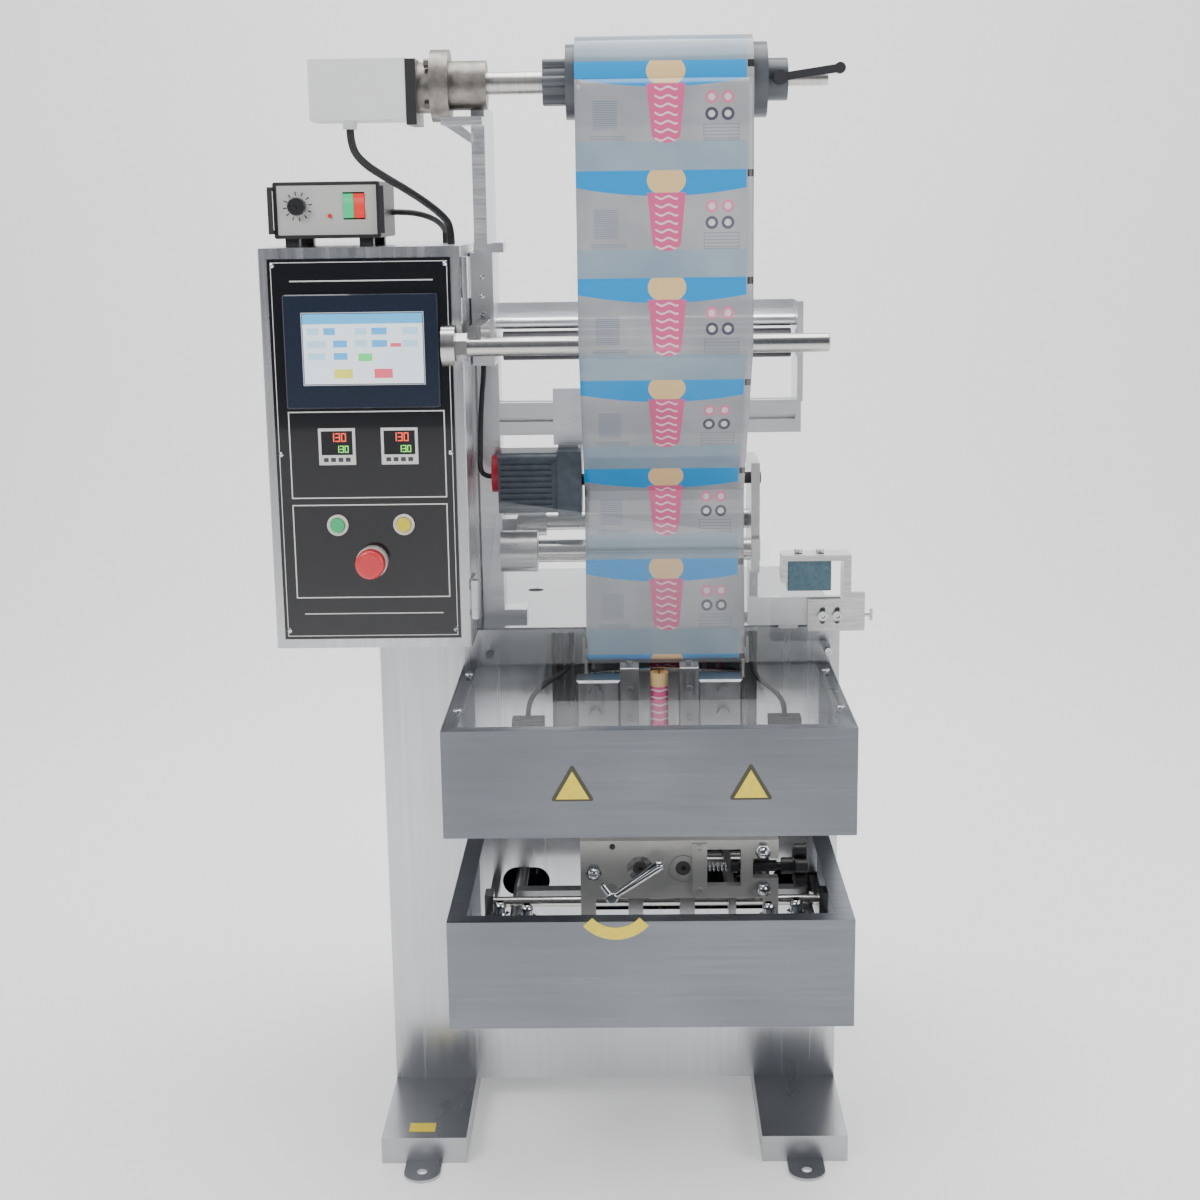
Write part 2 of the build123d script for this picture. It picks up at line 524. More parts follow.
# ---------------------------------------------------------------- unwind unit
def build_unwind():
    """Motorised unwind: cover, cast housing, arm, spindle with cones, film roll and lever."""
    x0, x1, y0, y1, z0, z1 = COVER
    cover = block(x0, x1, y0, y1, z0, z1)
    cover = fillet(cover.edges().filter_by(Axis.X), 2.0)
    cover -= block(x0 + SHEET, x1 + 1, y0 + SHEET, y1 - SHEET, z0 + SHEET, z1 - SHEET)
    cover += rod_z(z0 - 9, z0 + 1, -316.0, ROLL_Y, 9.0)
    save("unwind_cover", cover)

    gasket = block(-240.0, -227.0, y0 - 1, y1 + 1, z0 - 6, z1 - 2)
    housing = rod_x(-227.0, -211.0, ROLL_Y, ROLL_Z - 4, 31.0)
    housing += rod_x(-211.0, -188.0, ROLL_Y, ROLL_Z - 2, 44.0)
    housing += rod_x(-188.0, -142.0, ROLL_Y, ROLL_Z - 2, 30.0)
    housing -= rod_x(-232.0, -141.0, ROLL_Y, ROLL_Z, SHAFT_R + RUN)
    for i in range(4):
        turn = math.radians(45 + 90 * i)
        by = ROLL_Y + 37.0 * math.cos(turn)
        bz = ROLL_Z - 2 + 37.0 * math.sin(turn)
        housing += hex_x(-218.0, -211.0, by, bz, 10.0)
    save("unwind_housing", housing, gasket)

    x0, x1, y0, y1 = ARM
    arm = block(x0, x1, y0, y1, POST_TOP + 13, ROLL_Z - 26)
    arm += block(x0 - 10, x1 + 13, FRONT, y1, POST_TOP, POST_TOP + 13)
    lug = Polyline((-188.0, ROLL_Z - 40), (x0 + 1, ROLL_Z - 60), (x0 + 1, ROLL_Z - 72),
                   (-200.0, ROLL_Z - 48), (-200.0, ROLL_Z - 40), close=True)
    web = Pos(0, ROLL_Y - 6, 0) * extrude(Plane.XZ * make_face(lug), -12)
    arm += web + block(-200.0, x1, ROLL_Y - 20, ROLL_Y + 20, ROLL_Z - 50, ROLL_Z - 40)
    arm -= rod_x(-230.0, -130.0, ROLL_Y, ROLL_Z - 2, 30.0)
    arm -= rod_x(-230.0, -187.5, ROLL_Y, ROLL_Z - 2, 44.0)

    spindle = rod_x(-226.0, HUB_X1, ROLL_Y, ROLL_Z, SHAFT_R)
    spindle += rod_x(HUB_X1 - 1, SPINDLE_END, ROLL_Y, ROLL_Z, 8.5)
    spindle += rod_x(CONE_X0 - 29.0, CONE_X0, ROLL_Y, ROLL_Z, 24.0)
    for i in range(6):
        turn = math.radians(60 * i)
        fy = ROLL_Y + 24.0 * math.cos(turn)
        fz = ROLL_Z + 24.0 * math.sin(turn)
        spindle += rod_x(CONE_X0 - 29.0, CONE_X0, fy, fz, 7.0)
    spindle += rod_x(CONE_X0, FILM_X0 - 0.5, ROLL_Y, ROLL_Z, 46.0)
    spindle += rod_x(FILM_X1 + 0.5, CONE_X1, ROLL_Y, ROLL_Z, 46.0)
    spindle += rod_x(FILM_X0 - 1, FILM_X0 + 16, ROLL_Y, ROLL_Z, CORE_R - 0.3)
    spindle += rod_x(FILM_X1 - 16, FILM_X1 + 1, ROLL_Y, ROLL_Z, CORE_R - 0.3)
    spindle += rod_x(CONE_X1, HUB_X1, ROLL_Y, ROLL_Z, 26.0)
    spindle -= rod_y(ROLL_Y - 40, ROLL_Y - 14, LEVER_X, ROLL_Z, 3.0 + RUN)
    save("unwind_spindle", spindle)

    roll = rod_x(FILM_X0, FILM_X1, ROLL_Y, ROLL_Z, ROLL_R)
    roll -= rod_x(FILM_X0 - 1, FILM_X1 + 1, ROLL_Y, ROLL_Z, CORE_R + CORE_T)
    core = rod_x(FILM_X0, FILM_X1, ROLL_Y, ROLL_Z, CORE_R + CORE_T)
    core -= rod_x(FILM_X0 - 1, FILM_X1 + 1, ROLL_Y, ROLL_Z, CORE_R)
    save("film_roll", roll, core)

    boss = rod_y(ROLL_Y - 40, ROLL_Y - 27, LEVER_X, ROLL_Z, 9.0)
    boss += rod_y(ROLL_Y - 28, ROLL_Y - 16, LEVER_X, ROLL_Z, 3.0)
    hub = Pos(LEVER_X, ROLL_Y - 34, ROLL_Z) * Rot(0, -8, 0)
    handle = hub * Pos(37, 0, 0) * Box(74, 9, 10)
    handle += hub * Pos(74, 0, 0) * Rot(90, 0, 0) * Cylinder(7, 9)
    save("spindle_lever", boss + handle)
    return arm


# ---------------------------------------------------------------- film frame and rollers
def build_frame(unwind_arm):
    """Post beside the control cabinet, and the rails that carry the guide bar and rollers."""
    x0 = POST_X0
    x1 = POST_X0 + POST_W
    y1 = POST_Y0 + POST_D
    post = block(x0, x1, POST_Y0, y1, DECK_Z, POST_TOP)
    post -= block(x0 + 3, x1 - 3, POST_Y0 + 3, y1 - 3, DECK_Z + 3, POST_TOP - 3)
    post += block(x0, x1, FRONT, POST_Y0 + 1, TENSION_Z - 22, POST_TOP)
    foot = block(x1, x1 + 32, POST_Y0, POST_Y0 + 40, DECK_Z, DECK_Z + 12)

    rails = block(x1, RAIL_X1, FRONT + 45, FRONT + 85, 985.0, 1030.0)
    for y in (FRONT + 45, FRONT + 85):
        rails -= block(x1 - 1, RAIL_X1, y - 8, y + 8, 1003.5, 1011.5)
    for z in (985.0, 1030.0):
        rails -= block(x1 - 1, RAIL_X1, FRONT + 61, FRONT + 69, z - 8, z + 8)
    rails += block(x1, RAIL_X1 - 7, FRONT + 88, FRONT + 108, 1146.0, 1166.0)
    rails += block(RAIL_X1 - 8, RAIL_X1, FRONT + 20, FRONT + 112, 1030.0, 1166.0)
    rails += block(RAIL_X1 - 8, RAIL_X1, FRONT + 45, FRONT + 112, 985.0, 1032.0)
    rails -= rod_x(RAIL_X1 - 20, RAIL_X1 + 10, FRAME_Y, TIE_Z, 8.0)
    rails -= rod_x(RAIL_X1 - 20, RAIL_X1 + 10, FRAME_Y, TENSION_Z, 8.0 + RUN)
    tie = rod_x(x1, RAIL_X1, FRAME_Y, TIE_Z, 8.0)

    plate = block(-74.0, -33.0, FRONT + 37, FRONT + 45, 972.0, 1050.0)
    for z in (980.0, 1007.0, 1037.0):
        plate += cap_screw(-43.0, FRONT + 37, z, "-y", 4.5, 4.0)
    save("film_frame", post, foot, rails, tie, plate, unwind_arm)

    arm = block(x1 - 20, x1 - 4, BAR_Y - 8, FRONT, BAR_Z - 8, BAR_Z + 26)
    bar = rod_x(-188.0, FILM_X1 + 96.8, BAR_Y, BAR_Z, BAR_R)
    bar = chamfer(bar.faces().sort_by(Axis.X)[-1].edges(), 1.5)
    bar += rod_x(-204.0, -187.0, BAR_Y, BAR_Z + 2, 26.0) + hex_x(-187.0, -172.0, BAR_Y, BAR_Z, 30.0)
    save("guide_bar", bar + arm)

    tension = rod_x(x1 + 8, RAIL_X1 - 14, FRAME_Y, TENSION_Z, 20.0)
    tension += rod_x(x1 + 0.5, RAIL_X1 - 4, FRAME_Y, TENSION_Z, 8.0)
    save("tension_roller", tension)


def build_feed():
    """Feed motor with its flange, the rubber feed roller, and the lower roller in its hub."""
    motor = block(-150.0, GEAR_X0, FEED_Y - 40, FEED_Y + 40, FEED_Z - 42, FEED_Z + 42)
    motor = fillet(motor.edges().filter_by(Axis.X), 12.0)
    for i in range(8):
        z = FEED_Z - 28 + i * 8.0
        motor -= block(-146.0, GEAR_X0 - 8, FEED_Y - 41, FEED_Y - 37.5, z - 1.6, z + 1.6)
    motor += block(GEAR_X0, FILM_X0 - 3.7, FEED_Y - 45, FEED_Y + 45, FEED_Z - 45, FEED_Z + 45)
    motor += rod_x(-160.0, -150.0, FEED_Y, FEED_Z + 10, 26.0)
    motor += block(GEAR_X0, GEAR_X0 + 28.0, FEED_Y - 5, FEED_Y + 45, FEED_Z + 45, 972.0)
    motor += block(GEAR_X0, GEAR_X0 + 28.0, FRONT + 45, FEED_Y + 45, 971.0, 985.0)
    motor -= rod_x(FILM_X0 - 18.7, FILM_X0 - 2.7, FEED_Y, FEED_Z, 8.0 + RUN)
    save("feed_motor", motor)

    feed = rod_x(FILM_X0 + 4, FILM_X1 - 4, FEED_Y, FEED_Z, FEED_R)
    feed += rod_x(FILM_X0 - 14.7, STAY_X1 + 2, FEED_Y, FEED_Z, 8.0)
    save("feed_roller", feed)

    hub = rod_x(-149.5, -98.0, LOWER_Y, LOWER_Z, 29.0)
    hub += block(-150.0, -122.0, LOWER_Y, POST_Y0 + 20, LOWER_Z - 20, LOWER_Z + 20)
    hub -= rod_x(-151, -97, LOWER_Y, LOWER_Z, 10 + RUN)
    back = rod_x(-149.5, -90.0, FRONT + 130, 850.0, 22.0)
    back += rod_x(-90.0, STAY_X0, FRONT + 130, 850.0, 14.0)
    back += block(-150.0, -130.0, POST_Y0 + 10, FRONT + 120, 840.0, 862.0)
    stay = block(STAY_X0, STAY_X1, FEED_Y - 14, FRONT + 145, 790.0, 945.0)
    stay += block(STAY_X0, STAY_X1, LOWER_Y - 12, FRONT + 60, 810.0, 840.0)
    stay -= rod_x(STAY_X0 - 1, STAY_X1 + 1, FEED_Y, FEED_Z, 8.0 + RUN)
    stay -= rod_x(STAY_X0 - 1, STAY_X1 + 1, LOWER_Y, LOWER_Z, 8.0 + RUN)
    stay += block(STAY_X0, STAY_X1, FRONT + 60, FRONT + 110, DECK_Z, 800.0)
    stay += block(STAY_X0 - 10, STAY_X1 + 10, FRONT + 50, FRONT + 120, DECK_Z, DECK_Z + 8)
    save("roller_bracket", hub, back + stay)

    lower = rod_x(-97.0, STAY_X0 - 1, LOWER_Y, LOWER_Z, LOWER_R)
    lower += rod_x(-140.0, -96.0, LOWER_Y, LOWER_Z, 10.0)
    lower += rod_x(STAY_X0 - 2, STAY_X1, LOWER_Y, LOWER_Z, 8.0)
    save("lower_roller", lower)


# ---------------------------------------------------------------- film
def tangent_line(y0, z0, r0, y1, z1, r1):
    """The two contact points of the front tangent from one roller down to the next one."""
    dy = y1 - y0
    dz = z1 - z0
    span = math.hypot(dy, dz)
    lean = math.atan2(dy, -dz) + math.asin((r0 - r1) / span)
    ny = -math.cos(lean)
    nz = -math.sin(lean)
    return (y0 + r0 * ny, z0 + r0 * nz), (y1 + r1 * ny, z1 + r1 * nz)


def build_film():
    """The flat film from the roll to the former, and the folded web below the former."""
    off = FILM_GAP + FILM_T / 2
    front_y = FILM_FRONT_Y + FILM_T / 2
    a, b = tangent_line(BAR_Y, BAR_Z, BAR_R + off, FEED_Y, FEED_Z, FEED_R + off)
    c, d = tangent_line(FEED_Y, FEED_Z, FEED_R + off, LOWER_Y, LOWER_Z, LOWER_R + off)
    e, f = tangent_line(LOWER_Y, LOWER_Z, LOWER_R + off, TURN_Y, TURN_Z, TURN_R + off)
    pieces = []
    strips = (((front_y, ROLL_Z), (front_y, BAR_Z)), (a, b), (c, d), (e, f))
    for (ya, za), (yb, zb) in strips:
        pieces.append(flat_strip(ya, za, yb, zb))
    arcs = ((BAR_Y, BAR_Z, BAR_R, (front_y, BAR_Z), a), (FEED_Y, FEED_Z, FEED_R, b, c),
            (LOWER_Y, LOWER_Z, LOWER_R, d, e))
    for y, z, r, start, end in arcs:
        pieces.append(arc_strip(y, z, r + FILM_GAP, start, end))
    under = (TURN_Y, TURN_Z - TURN_R - off)
    over = (REAR_BAR_Y, REAR_BAR_Z + TURN_R + off)
    rise = math.atan2(APEX_Z - REAR_BAR_Z + TURN_R, REAR_BAR_Y - APEX_Y)
    below = (REAR_BAR_Y - (TURN_R + off) * math.sin(rise), REAR_BAR_Z - (TURN_R + off) * math.cos(rise))
    pieces.append(arc_strip(TURN_Y, TURN_Z, TURN_R + FILM_GAP, f, under))
    pieces.append(flat_strip(*under, *over))
    pieces.append(arc_strip(REAR_BAR_Y, REAR_BAR_Z, TURN_R + FILM_GAP, over, below))
    outline = Polyline((FILM_X0, below[0]), (FILM_X1, below[0]), (WEB_X, APEX_Y), close=True)
    wedge = Pos(0, 0, 400) * extrude(make_face(outline), 400.0)
    pieces.append(flat_strip(*below, APEX_Y - 5, APEX_Z) & wedge)
    sheet = pieces[0]
    for piece in pieces[1:]:
        sheet += piece
    save("film_sheet", sheet)

    web = block(WEB_X - WEB_T / 2, WEB_X + WEB_T / 2, APEX_Y + 2, APEX_Y + WEB_D, WEB_BOTTOM, WEB_TOP)
    tube_r = JAW_OPEN - JAW_LIP - 3.2
    tube = rod_z(WEB_TOP - 5, APEX_Z - 11, WEB_X, APEX_Y + 15.0, tube_r)
    tube -= rod_z(WEB_TOP - 6, APEX_Z - 10, WEB_X, APEX_Y + 15.0, tube_r - WEB_T)
    save("film_web", web + tube)


def flat_strip(ya, za, yb, zb):
    """A straight run of film between two points in the YZ plane."""
    length = math.hypot(yb - ya, zb - za)
    turn = math.degrees(math.atan2(zb - za, yb - ya))
    place = Pos(FILM_X, (ya + yb) / 2, (za + zb) / 2) * Rot(turn, 0, 0)
    return place * Box(FILM_W, length, FILM_T)


def arc_strip(y, z, r, start, end):
    """A run of film bent round a roller, between two contact points."""
    a0 = math.atan2(start[1] - z, start[0] - y)
    a1 = math.atan2(end[1] - z, end[0] - y)
    if a1 - a0 > math.pi:
        a1 -= 2 * math.pi
    if a0 - a1 > math.pi:
        a1 += 2 * math.pi
    ring = rod_x(FILM_X0, FILM_X1, y, z, r + FILM_T) - rod_x(FILM_X0 - 1, FILM_X1 + 1, y, z, r)
    reach = 4 * r
    mid = (a0 + a1) / 2
    corner = [(y, z)] + [(y + reach * math.cos(t), z + reach * math.sin(t)) for t in (a0, mid, a1)]
    wedge = Plane.YZ * make_face(Polyline(*corner, close=True))
    return ring & (Pos(FILM_X0 - 5, 0, 0) * extrude(wedge, FILM_W + 10))


# ---------------------------------------------------------------- former and filling tube
def build_former():
    """Turn bar, rear bar and wedge plate that fold the film, on two side cheeks."""
    cheeks = []
    for x0, x1 in ((FILM_X0 - 5.5, FILM_X0 - 1.5), (FILM_X1 + 1.5, FILM_X1 + 5.5)):
        cheek = block(x0, x1, FRONT - 22, REAR_BAR_Y + 14, REAR_BAR_Z - 14, 708.0)
        cheek -= block(x0 - 1, x1 + 1, FRONT - 30, REAR_BAR_Y - 20, REAR_BAR_Z - 20, TURN_Z - 12)
        cheeks.append(cheek)
    turn = rod_x(FILM_X0 - 3, FILM_X1 + 3, TURN_Y, TURN_Z, TURN_R)
    rear = rod_x(FILM_X0 - 3, FILM_X1 + 3, REAR_BAR_Y, REAR_BAR_Z, TURN_R)
    former = cheeks[0] + cheeks[1] + turn + rear
    hanger = block(FILM_X0 - 5.5, FILM_X1 + 5.5, FRONT + 4, FRONT + 14, 703.0, SHELL_TOP - SHEET)
    save("film_former", former + hanger)

    bend = (FUNNEL_Y, 640.0)
    end = (APEX_Y + 85.0, 575.0)
    length = math.hypot(end[0] - bend[0], end[1] - bend[1])
    lean = math.degrees(math.atan2(bend[0] - end[0], bend[1] - end[1]))
    chute_at = Pos(WEB_X, (bend[0] + end[0]) / 2, (bend[1] + end[1]) / 2) * Rot(-lean, 0, 0)
    outside = rod_z(688.0, DECK_Z + 22, WEB_X, FUNNEL_Y, FUNNEL_R)
    outside += rod_z(DECK_Z, DECK_Z + 4, WEB_X, FUNNEL_Y, FUNNEL_R + 12)
    outside += Pos(WEB_X, FUNNEL_Y, 664.0) * Cone(CHUTE_R, FUNNEL_R, 48)
    outside += Pos(WEB_X, *bend) * Sphere(CHUTE_R) + chute_at * Cylinder(CHUTE_R, length)
    inside = rod_z(688.0, DECK_Z + 23, WEB_X, FUNNEL_Y, PORT_R)
    inside += Pos(WEB_X, FUNNEL_Y, 664.0) * Cone(CHUTE_R - 1.2, PORT_R, 48.02)
    inside += Pos(WEB_X, *bend) * Sphere(CHUTE_R - 1.2) + chute_at * Cylinder(CHUTE_R - 1.2, length + 30)
    inside -= block(WEB_X - 40, WEB_X + 40, FUNNEL_Y + 0.01, FUNNEL_Y + 60, 560.0, 639.0)
    save("filling_tube", outside - inside)


def build_clear_guard():
    """Clear sheet in front of the film, cut away round the print mark sensor."""
    outline = Polyline((-180.0, 677.0), (317.0, 677.0), (317.0, 705.0), (222.0, 705.0),
                       (222.0, 850.0), (-148.0, 905.0), close=True)
    face = make_face(outline)
    face = fillet(face.vertices(), 8.0)
    sheet = Pos(0, SCREEN_Y + SCREEN_T, 0) * extrude(Plane.XZ * face, SCREEN_T)
    for x in SPACER_X:
        sheet -= rod_y(SCREEN_Y - 9, SCREEN_Y + 9, x, SPACER_Z, 3.2)
    save("clear_guard", sheet)


# ---------------------------------------------------------------- sealing and drawing
def build_vertical_jaws():
    """Heated vertical jaws with a sealing strip at the web's open edges, and their arms."""
    strip_y = APEX_Y + WEB_D - 14.0
    screen_y = SCREEN_Y - 7.0
    for side, sign in (("left", -1), ("right", 1)):
        face = WEB_X + sign * JAW_OPEN
        outer = face + sign * JAW_W
        tip = face - sign * JAW_LIP
        lo = min(face, outer)
        hi = max(face, outer)
        jaw = block(lo, hi, APEX_Y - 16, APEX_Y + 18, JAW_Z0, 689.0)
        jaw += block(lo, hi, APEX_Y + 17, screen_y, JAW_Z0, 664.0)
        jaw += block(lo, hi, screen_y - 1, strip_y + 19, JAW_Z0, JAW_Z0 + 34)
        jaw += block(min(tip, face), max(tip, face), strip_y, strip_y + 16, JAW_Z0 + 2, WEB_TOP - 4)
        jaw = chamfer(jaw.faces().sort_by(Axis.Y)[0].edges(), 1.0)
        mid = (face + outer) / 2
        for z in (619.0, 660.0):
            jaw += cap_screw(mid, APEX_Y - 16, z, "-y", 4.5, 4.5)
        jaw += hex_z(689.0, 694.0, mid, APEX_Y + 2, 9.0)
        far = outer + sign * 60.0
        lo = min(outer, far)
        hi = max(outer, far)
        arm = block(lo, hi, APEX_Y + 14, screen_y, JAW_Z0 + 8, 664.0)
        arm += block(lo, hi, screen_y - 1, ARM_REAR, JAW_Z0 + 8, JAW_ROD_Z + 20)
        arm = chamfer(arm.faces().sort_by(Axis.Y)[0].edges(), 3.0)
        arm -= rod_x(-200.0, 400.0, JAW_ROD_Y, JAW_ROD_Z, ROD_R + RUN)
        for z in (618.0, 648.0):
            arm += hex_y(APEX_Y + 7, APEX_Y + 14.5, outer + sign * 34.0, z, 15.0)
        save(f"vertical_jaw_{side}", jaw, arm)


def build_plates():
    """Front and rear bearing plates of the draw rollers, and the posts between them."""
    plates = []
    for y0, is_front in ((PLATE_Y, True), (FRONT + 60.0, False)):
        y1 = y0 + PLATE_T
        plate = block(-40.0, 224.0, y0, y1, PLATE_Z0, PLATE_Z1)
        plate -= rod_y(y0 - 1, y1 + 1, DRAW_LEFT_X, DRAW_Z, BEARING_R)
        if is_front:
            plate -= block(71.0, 174.0, y0 - 1, y1 + 1, 405.0, 457.0)
            plate -= block(190.0, 225.0, y0 - 1, y1 + 1, 416.0, 444.0)
            plate -= rod_y(y0 - 1, y1 + 1, 3.0, 462.0, 4.0)
            plate -= rod_x(170.0, 195.0, (y0 + y1) / 2, DRAW_Z, 5.0 + RUN)
            plate -= rod_y(y0 - 1, y1 + 1, *LEVER_PIVOT, 4.0 + RUN)
            for x0 in (-40.0, 204.0):
                plate += block(x0, x0 + 20, y0, y1, BASE_TOP, PLATE_Z0 + 1)
        else:
            plate -= block(71.0, 128.0, y0 - 1, y1 + 1, 405.0, 457.0)
        for x, z in POST_PLACES:
            plate -= rod_y(y0 + (-1 if is_front else 0), y1 if is_front else y1 + 1, x, z, 6.0)
        plates.append(plate)
    strip = block(109.0, 129.0, PLATE_Y - 4, PLATE_Y, 396.0, 466.0)
    strip += cap_screw(119.0, PLATE_Y - 4, 401.0, "-y", 4.5, 3.5)
    strip += cap_screw(119.0, PLATE_Y - 4, 461.0, "-y", 4.5, 3.5)
    save("bearing_plates", plates[0] + strip, plates[1])

    posts = []
    for x, z in POST_PLACES:
        post = rod_y(PLATE_Y + PLATE_T, FRONT + 60, x, z, 9.0)
        post += rod_y(PLATE_Y, PLATE_Y + PLATE_T + 1, x, z, 6.0)
        posts.append(post + rod_y(FRONT + 59, FRONT + 60 + PLATE_T, x, z, 6.0))
    for y in (ROD_FRONT_Y, ROD_REAR_Y):
        posts.append(rod_x(-172.0, 294.0, y, CROSS_Z, ROD_R))
    posts.append(rod_x(JAW_BRACKET_X[0], JAW_BRACKET_X[1] + 12, JAW_ROD_Y, JAW_ROD_Z, ROD_R))
    save("machine_rods", *posts, *build_base())


def build_draw_rollers():
    """Two rubber draw rollers; the right one turns in a block that a spring presses home."""
    rings = []
    for y0 in (PLATE_Y, FRONT + 60.0):
        ring = rod_y(y0 + 1, y0 + PLATE_T, DRAW_LEFT_X, DRAW_Z, BEARING_R)
        rings.append(ring - rod_y(y0, y0 + PLATE_T + 1, DRAW_LEFT_X, DRAW_Z, DRAW_SHAFT_R + RUN))
    for x in CAM_BEARING_X:
        pillow = block(x, x + 14, CAM_Y - 30, CAM_Y + 30, FOOT_H + SHEET, CAM_Z + 30)
        rings.append(pillow - rod_x(x - 1, x + 15, CAM_Y, CAM_Z, 14.0 + RUN))
    save("shaft_bearings", *rings)
    for side, x in (("left", DRAW_LEFT_X), ("right", DRAW_RIGHT_X)):
        roller = rod_y(APEX_Y - 40, APEX_Y + WEB_D + 8, x, DRAW_Z, DRAW_R)
        roller += rod_y(PLATE_Y + 0.5, FRONT + 84, x, DRAW_Z, DRAW_SHAFT_R)
        roller -= rod_y(PLATE_Y - 2, PLATE_Y + 4, x, DRAW_Z, 3.0)
        save(f"draw_roller_{side}", roller)
    slide = 0.06
    blocks = []
    for y0 in (PLATE_Y, FRONT + 60.0):
        carrier = block(71.0 + slide, 121.0, y0 + 0.5, y0 + PLATE_T - 0.5, 405.0 + slide, 457.0 - slide)
        carrier -= rod_y(y0, y0 + PLATE_T, DRAW_RIGHT_X, DRAW_Z, DRAW_SHAFT_R + RUN)
        if y0 == PLATE_Y:
            carrier -= rod_y(y0, y0 + 2, DRAW_RIGHT_X, DRAW_Z, BEARING_R + 3)
            carrier += rod_y(y0 + 0.5, y0 + 2.2, DRAW_RIGHT_X, DRAW_Z, BEARING_R) \
                - rod_y(y0, y0 + 3, DRAW_RIGHT_X, DRAW_Z, DRAW_SHAFT_R + RUN)
        blocks.append(carrier)
    link_top = DRAW_Z + DRAW_R + 8.0
    front = PLATE_Y + PLATE_T
    rear = FRONT + 60.0
    link = block(104.0, 121.0, front + 0.3, front + 8, 445.0, link_top)
    link += block(104.0, 121.0, rear - 8, rear - 0.3, 445.0, link_top)
    link += block(104.0, 121.0, front + 0.3, rear - 0.3, link_top - 6, link_top)
    link += block(104.0, 121.0, front - 2, front + 2, 445.0, 456.9)
    link += block(104.0, 121.0, rear - 2, rear + 2, 445.0, 456.9)
    save("bearing_slide", blocks[0] + blocks[1] + link)


def build_tension_screw():
    """Tension spring of the sliding block, its screw and star knob."""
    coils = 6.0
    pitch = (SPRING_X1 - SPRING_X0 - 3.0) / coils
    helix = Helix(pitch, pitch * coils, 6.0)
    wire = sweep(Plane(origin=helix @ 0, z_dir=helix % 0) * Circle(1.2), helix, is_frenet=True)
    spring = Pos(SPRING_X0 + 1.5, SCREW_Y, DRAW_Z) * Rot(0, 90, 0) * wire
    save("tension_spring", spring)
    knob = rod_x(163.0, 258.0, SCREW_Y, DRAW_Z, 5.0)
    knob += hex_x(161.5, 170.0, SCREW_Y, DRAW_Z, 17.0)
    knob += rod_x(228.0, 244.0, SCREW_Y, DRAW_Z, 11.0) + rod_x(192.0, 222.0, SCREW_Y, DRAW_Z, 7.5)
    knob += rod_x(243.0, 262.0, SCREW_Y, DRAW_Z, 14.0)
    for i in range(5):
        turn = math.radians(72 * i + 18)
        ly = SCREW_Y + 21.0 * math.cos(turn)
        lz = DRAW_Z + 21.0 * math.sin(turn)
        knob += rod_x(245.0, 261.0, ly, lz, 9.5)
    save("star_knob", knob)


def build_clamp_lever():
    """Clamping lever in front of the bearing plate, with its short stub."""
    x, z = LEVER_PIVOT
    y0 = LEVER_Y
    hub = rod_y(y0 - 6, PLATE_Y - 0.3, x, z, 8.0)
    hub = fillet(hub.faces().sort_by(Axis.Y)[0].edges(), 3.0)
    arm = Pos(x, y0, z) * Rot(0, -35, 0) * Pos(38, 0, 0) * Rot(0, 90, 0) * Cone(4.0, 7.5, 76)
    tip = Pos(x, y0, z) * Rot(0, -35, 0) * Pos(76, 0, 0) * Sphere(7.5)
    stub = Pos(x, y0, z) * Rot(0, -125, 0) * Pos(11, 0, 0) * Rot(0, 90, 0) * Cylinder(4.0, 22)
    pin = rod_y(PLATE_Y - 1, PLATE_Y + PLATE_T + 2, x, z, 4.0)
    save("clamp_lever", hub + arm + tip + stub + pin)


def build_base():
    """Base plate inside the tray, and the end blocks of the jaw guide rods."""
    base = block(-172.0, 294.0, FRONT - 240, FRONT, BASE_TOP - 14, BASE_TOP)
    base -= block(-95.0, 232.0, FRONT - 190, FRONT + 1, BASE_TOP - 20, BASE_TOP + 1)
    base -= block(-173.0, 295.0, FRONT - 175, FRONT + 1, BASE_TOP - 20, BASE_TOP + 1)
    base += block(-172.0, -160.0, FRONT - 176, FRONT, BASE_TOP - 14, BASE_TOP)
    base += block(282.0, 294.0, FRONT - 176, FRONT, BASE_TOP - 14, BASE_TOP)
    ends = []
    for x0, x1 in ((-172.0, -160.0), (282.0, 294.0)):
        base += block(x0, x1, ROD_FRONT_Y - 14, ROD_FRONT_Y + 14, BASE_TOP - 1, CROSS_Z + 14)
        base -= rod_x(x0 - 1, x1 + 1, ROD_FRONT_Y, CROSS_Z, ROD_R)
        inner = block(x0, x1, FRONT + SHEET, ROD_REAR_Y + 14, CROSS_Z - 14, CROSS_Z + 14)
        ends.append(inner - rod_x(x0 - 1, x1 + 1, ROD_REAR_Y, CROSS_Z, ROD_R))
    for x in JAW_BRACKET_X:
        end = block(x, x + 12, FRONT + SHEET, JAW_ROD_Y + 14, JAW_ROD_Z - 14, JAW_ROD_Z + 14)
        ends.append(end - rod_x(x - 1, x + 13, JAW_ROD_Y, JAW_ROD_Z, ROD_R))
    return [base, *ends]


